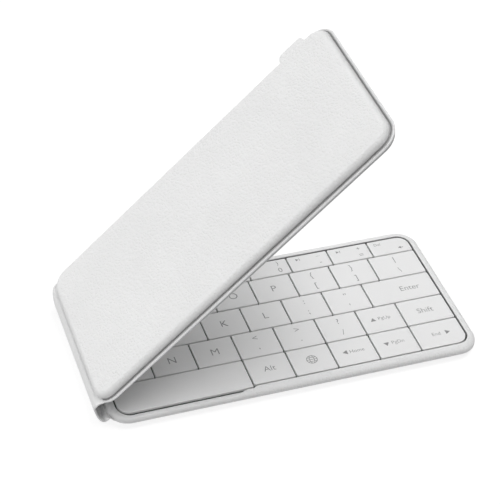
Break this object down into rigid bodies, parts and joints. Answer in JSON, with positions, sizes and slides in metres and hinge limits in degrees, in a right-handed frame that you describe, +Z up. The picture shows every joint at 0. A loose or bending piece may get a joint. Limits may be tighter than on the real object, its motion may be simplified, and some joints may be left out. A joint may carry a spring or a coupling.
{
  "type": "folding keyboard",
  "caption": "Book-style folding keyboard: two soft-covered halves with flat keys, joined by a flexible strip, standing partly open with one half on the surface.",
  "frame": {"origin": "centre of the base half's flat rest face", "axes": "+X along the rows of keys, away from the hinge strip; +Y to the back row; +Z up out of the keys"},
  "size_m": [0.1613, 0.0814, 0.1217],
  "materials": {
    "cover": "matt fine-grained light grey synthetic leather over foam",
    "rim": "matt fine-grained light grey synthetic leather, rolled",
    "keycap": "matt moulded light grey plastic",
    "key_plate": "pressed steel sheet",
    "membrane": "printed film",
    "dome": "translucent silicone",
    "link": "moulded white plastic",
    "flex": "amber film with printed tracks",
    "battery": "foil pouch",
    "board": "green solder mask",
    "port": "stamped steel shell"
  },
  "bodies": {
    "base": {"base_cover": "cover", "base_frame": "rim", "base_plate": "key_plate", "base_membrane": "membrane", "base_domes": "dome", "base_scissors": "link", "battery": "battery", "main_board": "board", "charging_port": "port"},
    "spine": {"hinge_strip": "cover", "flex_cable": "flex"},
    "lid": {"lid_cover": "cover", "lid_frame": "rim", "lid_plate": "key_plate", "lid_membrane": "membrane", "lid_domes": "dome", "lid_scissors": "link", "pull_tab": "cover"},
    "key_space": {"key_space": "keycap"},
    "key_alt": {"key_alt": "keycap"},
    "key_globe": {"key_globe": "keycap"},
    "key_home": {"key_home": "keycap"},
    "key_page_down": {"key_page_down": "keycap"},
    "key_end": {"key_end": "keycap"},
    "key_b": {"key_b": "keycap"},
    "key_n": {"key_n": "keycap"},
    "key_m": {"key_m": "keycap"},
    "key_comma": {"key_comma": "keycap"},
    "key_period": {"key_period": "keycap"},
    "key_slash": {"key_slash": "keycap"},
    "key_page_up": {"key_page_up": "keycap"},
    "key_shift": {"key_shift": "keycap"},
    "key_h": {"key_h": "keycap"},
    "key_j": {"key_j": "keycap"},
    "key_k": {"key_k": "keycap"},
    "key_l": {"key_l": "keycap"},
    "key_semicolon": {"key_semicolon": "keycap"},
    "key_quote": {"key_quote": "keycap"},
    "key_enter": {"key_enter": "keycap"},
    "key_y": {"key_y": "keycap"},
    "key_u": {"key_u": "keycap"},
    "key_i": {"key_i": "keycap"},
    "key_o": {"key_o": "keycap"},
    "key_p": {"key_p": "keycap"},
    "key_bracket_left": {"key_bracket_left": "keycap"},
    "key_bracket_right": {"key_bracket_right": "keycap"},
    "key_backslash": {"key_backslash": "keycap"},
    "key_6": {"key_6": "keycap"},
    "key_7": {"key_7": "keycap"},
    "key_8": {"key_8": "keycap"},
    "key_9": {"key_9": "keycap"},
    "key_0": {"key_0": "keycap"},
    "key_minus": {"key_minus": "keycap"},
    "key_equals": {"key_equals": "keycap"},
    "key_backspace": {"key_backspace": "keycap"},
    "lid_keys_front": {"lid_keys_front": "keycap"},
    "lid_keys_shift": {"lid_keys_shift": "keycap"},
    "lid_keys_home": {"lid_keys_home": "keycap"},
    "lid_keys_upper": {"lid_keys_upper": "keycap"},
    "lid_keys_top": {"lid_keys_top": "keycap"}
  },
  "joints": [
    {"name": "fold_base", "type": "hinge", "parent": "base", "child": "spine", "pos_m": [-0.08326, 0, 0.0032], "axis": [0, -1, 0], "range_deg": [-22, 68], "deforming": ["hinge_strip", "flex_cable"]},
    {"name": "fold_lid", "type": "hinge", "parent": "spine", "child": "lid", "pos_m": [-0.08566, 0, 0.00913], "axis": [0, -1, 0], "range_deg": [-22, 68]},
    {"name": "key_space", "type": "slide", "parent": "base", "child": "key_space", "axis": [0, 0, -1], "range_m": [0, 0.001], "stiffness_N_per_m": 300, "springref_m": -0.0004, "deforming": ["base_domes", "base_scissors"]},
    {"name": "key_alt", "type": "slide", "parent": "base", "child": "key_alt", "axis": [0, 0, -1], "range_m": [0, 0.001], "stiffness_N_per_m": 300, "springref_m": -0.0004},
    {"name": "key_globe", "type": "slide", "parent": "base", "child": "key_globe", "axis": [0, 0, -1], "range_m": [0, 0.001], "stiffness_N_per_m": 300, "springref_m": -0.0004},
    {"name": "key_home", "type": "slide", "parent": "base", "child": "key_home", "axis": [0, 0, -1], "range_m": [0, 0.001], "stiffness_N_per_m": 300, "springref_m": -0.0004},
    {"name": "key_page_down", "type": "slide", "parent": "base", "child": "key_page_down", "axis": [0, 0, -1], "range_m": [0, 0.001], "stiffness_N_per_m": 300, "springref_m": -0.0004},
    {"name": "key_end", "type": "slide", "parent": "base", "child": "key_end", "axis": [0, 0, -1], "range_m": [0, 0.001], "stiffness_N_per_m": 300, "springref_m": -0.0004},
    {"name": "key_b", "type": "slide", "parent": "base", "child": "key_b", "axis": [0, 0, -1], "range_m": [0, 0.001], "stiffness_N_per_m": 300, "springref_m": -0.0004},
    {"name": "key_n", "type": "slide", "parent": "base", "child": "key_n", "axis": [0, 0, -1], "range_m": [0, 0.001], "stiffness_N_per_m": 300, "springref_m": -0.0004},
    {"name": "key_m", "type": "slide", "parent": "base", "child": "key_m", "axis": [0, 0, -1], "range_m": [0, 0.001], "stiffness_N_per_m": 300, "springref_m": -0.0004},
    {"name": "key_comma", "type": "slide", "parent": "base", "child": "key_comma", "axis": [0, 0, -1], "range_m": [0, 0.001], "stiffness_N_per_m": 300, "springref_m": -0.0004},
    {"name": "key_period", "type": "slide", "parent": "base", "child": "key_period", "axis": [0, 0, -1], "range_m": [0, 0.001], "stiffness_N_per_m": 300, "springref_m": -0.0004},
    {"name": "key_slash", "type": "slide", "parent": "base", "child": "key_slash", "axis": [0, 0, -1], "range_m": [0, 0.001], "stiffness_N_per_m": 300, "springref_m": -0.0004},
    {"name": "key_page_up", "type": "slide", "parent": "base", "child": "key_page_up", "axis": [0, 0, -1], "range_m": [0, 0.001], "stiffness_N_per_m": 300, "springref_m": -0.0004},
    {"name": "key_shift", "type": "slide", "parent": "base", "child": "key_shift", "axis": [0, 0, -1], "range_m": [0, 0.001], "stiffness_N_per_m": 300, "springref_m": -0.0004},
    {"name": "key_h", "type": "slide", "parent": "base", "child": "key_h", "axis": [0, 0, -1], "range_m": [0, 0.001], "stiffness_N_per_m": 300, "springref_m": -0.0004},
    {"name": "key_j", "type": "slide", "parent": "base", "child": "key_j", "axis": [0, 0, -1], "range_m": [0, 0.001], "stiffness_N_per_m": 300, "springref_m": -0.0004},
    {"name": "key_k", "type": "slide", "parent": "base", "child": "key_k", "axis": [0, 0, -1], "range_m": [0, 0.001], "stiffness_N_per_m": 300, "springref_m": -0.0004},
    {"name": "key_l", "type": "slide", "parent": "base", "child": "key_l", "axis": [0, 0, -1], "range_m": [0, 0.001], "stiffness_N_per_m": 300, "springref_m": -0.0004},
    {"name": "key_semicolon", "type": "slide", "parent": "base", "child": "key_semicolon", "axis": [0, 0, -1], "range_m": [0, 0.001], "stiffness_N_per_m": 300, "springref_m": -0.0004},
    {"name": "key_quote", "type": "slide", "parent": "base", "child": "key_quote", "axis": [0, 0, -1], "range_m": [0, 0.001], "stiffness_N_per_m": 300, "springref_m": -0.0004},
    {"name": "key_enter", "type": "slide", "parent": "base", "child": "key_enter", "axis": [0, 0, -1], "range_m": [0, 0.001], "stiffness_N_per_m": 300, "springref_m": -0.0004},
    {"name": "key_y", "type": "slide", "parent": "base", "child": "key_y", "axis": [0, 0, -1], "range_m": [0, 0.001], "stiffness_N_per_m": 300, "springref_m": -0.0004},
    {"name": "key_u", "type": "slide", "parent": "base", "child": "key_u", "axis": [0, 0, -1], "range_m": [0, 0.001], "stiffness_N_per_m": 300, "springref_m": -0.0004},
    {"name": "key_i", "type": "slide", "parent": "base", "child": "key_i", "axis": [0, 0, -1], "range_m": [0, 0.001], "stiffness_N_per_m": 300, "springref_m": -0.0004},
    {"name": "key_o", "type": "slide", "parent": "base", "child": "key_o", "axis": [0, 0, -1], "range_m": [0, 0.001], "stiffness_N_per_m": 300, "springref_m": -0.0004},
    {"name": "key_p", "type": "slide", "parent": "base", "child": "key_p", "axis": [0, 0, -1], "range_m": [0, 0.001], "stiffness_N_per_m": 300, "springref_m": -0.0004},
    {"name": "key_bracket_left", "type": "slide", "parent": "base", "child": "key_bracket_left", "axis": [0, 0, -1], "range_m": [0, 0.001], "stiffness_N_per_m": 300, "springref_m": -0.0004},
    {"name": "key_bracket_right", "type": "slide", "parent": "base", "child": "key_bracket_right", "axis": [0, 0, -1], "range_m": [0, 0.001], "stiffness_N_per_m": 300, "springref_m": -0.0004},
    {"name": "key_backslash", "type": "slide", "parent": "base", "child": "key_backslash", "axis": [0, 0, -1], "range_m": [0, 0.001], "stiffness_N_per_m": 300, "springref_m": -0.0004},
    {"name": "key_6", "type": "slide", "parent": "base", "child": "key_6", "axis": [0, 0, -1], "range_m": [0, 0.001], "stiffness_N_per_m": 300, "springref_m": -0.0004},
    {"name": "key_7", "type": "slide", "parent": "base", "child": "key_7", "axis": [0, 0, -1], "range_m": [0, 0.001], "stiffness_N_per_m": 300, "springref_m": -0.0004},
    {"name": "key_8", "type": "slide", "parent": "base", "child": "key_8", "axis": [0, 0, -1], "range_m": [0, 0.001], "stiffness_N_per_m": 300, "springref_m": -0.0004},
    {"name": "key_9", "type": "slide", "parent": "base", "child": "key_9", "axis": [0, 0, -1], "range_m": [0, 0.001], "stiffness_N_per_m": 300, "springref_m": -0.0004},
    {"name": "key_0", "type": "slide", "parent": "base", "child": "key_0", "axis": [0, 0, -1], "range_m": [0, 0.001], "stiffness_N_per_m": 300, "springref_m": -0.0004},
    {"name": "key_minus", "type": "slide", "parent": "base", "child": "key_minus", "axis": [0, 0, -1], "range_m": [0, 0.001], "stiffness_N_per_m": 300, "springref_m": -0.0004},
    {"name": "key_equals", "type": "slide", "parent": "base", "child": "key_equals", "axis": [0, 0, -1], "range_m": [0, 0.001], "stiffness_N_per_m": 300, "springref_m": -0.0004},
    {"name": "key_backspace", "type": "slide", "parent": "base", "child": "key_backspace", "axis": [0, 0, -1], "range_m": [0, 0.001], "stiffness_N_per_m": 300, "springref_m": -0.0004},
    {"name": "lid_keys_front", "type": "slide", "parent": "lid", "child": "lid_keys_front", "axis": [-0.6947, 0, 0.7193], "range_m": [0, 0.001], "stiffness_N_per_m": 1800, "springref_m": -0.0004, "deforming": ["lid_domes", "lid_scissors"]},
    {"name": "lid_keys_shift", "type": "slide", "parent": "lid", "child": "lid_keys_shift", "axis": [-0.6947, 0, 0.7193], "range_m": [0, 0.001], "stiffness_N_per_m": 1800, "springref_m": -0.0004},
    {"name": "lid_keys_home", "type": "slide", "parent": "lid", "child": "lid_keys_home", "axis": [-0.6947, 0, 0.7193], "range_m": [0, 0.001], "stiffness_N_per_m": 1800, "springref_m": -0.0004},
    {"name": "lid_keys_upper", "type": "slide", "parent": "lid", "child": "lid_keys_upper", "axis": [-0.6947, 0, 0.7193], "range_m": [0, 0.001], "stiffness_N_per_m": 2100, "springref_m": -0.0004},
    {"name": "lid_keys_top", "type": "slide", "parent": "lid", "child": "lid_keys_top", "axis": [-0.6947, 0, 0.7193], "range_m": [0, 0.001], "stiffness_N_per_m": 2100, "springref_m": -0.0004}
  ],
  "couplings": [
    {"joint": "fold_lid", "follows": "fold_base", "ratio": 1}
  ]
}
